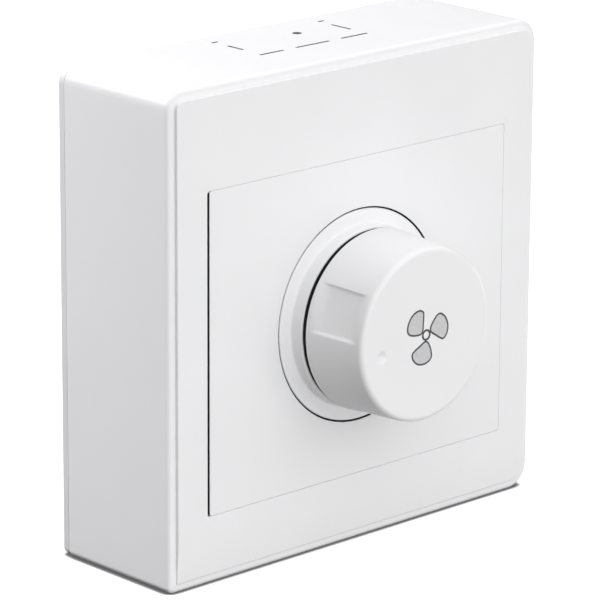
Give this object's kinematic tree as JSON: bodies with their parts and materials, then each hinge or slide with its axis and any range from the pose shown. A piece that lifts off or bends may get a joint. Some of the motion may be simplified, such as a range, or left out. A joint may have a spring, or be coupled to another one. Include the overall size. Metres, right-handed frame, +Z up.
{
  "type": "fan speed controller",
  "caption": "Square surface-mounted white speed controller for a ventilation fan, with a centre panel and a rotary knob marked with a fan.",
  "frame": {"origin": "centre of the rear plate's outer face, the one that lies against the wall", "axes": "+Z up, +Y into the wall, +X to the right seen from the front; the front faces -Y"},
  "size_m": [0.086, 0.0444, 0.086],
  "materials": {
    "case_white": "satin moulded white",
    "panel_white": "satin moulded white",
    "ring_white": "satin moulded white",
    "knob_white": "satin moulded white",
    "rear_white": "fine matt moulded white",
    "cover_cream": "matt cream moulding",
    "terminal_black": "matt black moulding",
    "component_black": "moulded epoxy",
    "board_green": "lacquered board",
    "wafer_brown": "phenolic paper",
    "film_yellow": "moulded film capacitor",
    "ceramic_blue": "dipped lacquer",
    "resistor_beige": "lacquered resistor",
    "ferrite_dark": "sintered ferrite",
    "pad_grey": "silicone pad",
    "fuse_glass": "clear glass",
    "zinc_steel": "bright zinc plate",
    "yoke_aluminium": "brushed sheet",
    "shaft_aluminium": "turned",
    "brass": "bright brass",
    "copper_wire": "enamelled copper"
  },
  "bodies": {
    "case": {"housing": "case_white", "rear_plate": "rear_white", "centre_panel": "panel_white", "trim_ring": "ring_white", "pot_bushing": "brass", "pot_cover": "zinc_steel", "pot_wafer": "wafer_brown", "pot_tag_1": "zinc_steel", "pot_tag_2": "zinc_steel", "pot_tag_3": "zinc_steel", "pot_washer": "zinc_steel", "pot_nut": "brass", "yoke": "yoke_aluminium", "plate_screw_left": "zinc_steel", "plate_screw_right": "zinc_steel", "circuit_board": "board_green", "module_cover": "cover_cream", "triac": "component_black", "triac_pad": "pad_grey", "triac_screw": "zinc_steel", "triac_nut": "zinc_steel", "film_capacitor": "film_yellow", "timing_capacitor": "ceramic_blue", "resistor_1": "resistor_beige", "resistor_2": "resistor_beige", "diac": "ceramic_blue", "choke_core": "ferrite_dark", "choke_winding": "copper_wire", "fuse_tube": "fuse_glass", "fuse_cap_1": "zinc_steel", "fuse_cap_2": "zinc_steel", "fuse_clip_1": "brass", "fuse_clip_2": "brass", "terminal_block": "terminal_black", "spacer_1": "brass", "module_screw_1": "zinc_steel", "spacer_2": "brass", "module_screw_2": "zinc_steel", "spacer_3": "brass", "module_screw_3": "zinc_steel", "spacer_4": "brass", "module_screw_4": "zinc_steel", "terminal_clamp_1": "brass", "terminal_screw_1": "zinc_steel", "terminal_clamp_2": "brass", "terminal_screw_2": "zinc_steel", "terminal_clamp_3": "brass", "terminal_screw_3": "zinc_steel"},
    "dial": {"knob": "knob_white", "knob_clip": "zinc_steel", "pot_shaft": "shaft_aluminium", "pot_rotor": "component_black", "pot_wiper": "brass"}
  },
  "joints": [
    {"name": "knob_turn", "type": "hinge", "parent": "case", "child": "dial", "pos_m": [0, -0.03, -0.0025], "axis": [0, 1, 0], "range_deg": [-32, 238]}
  ]
}
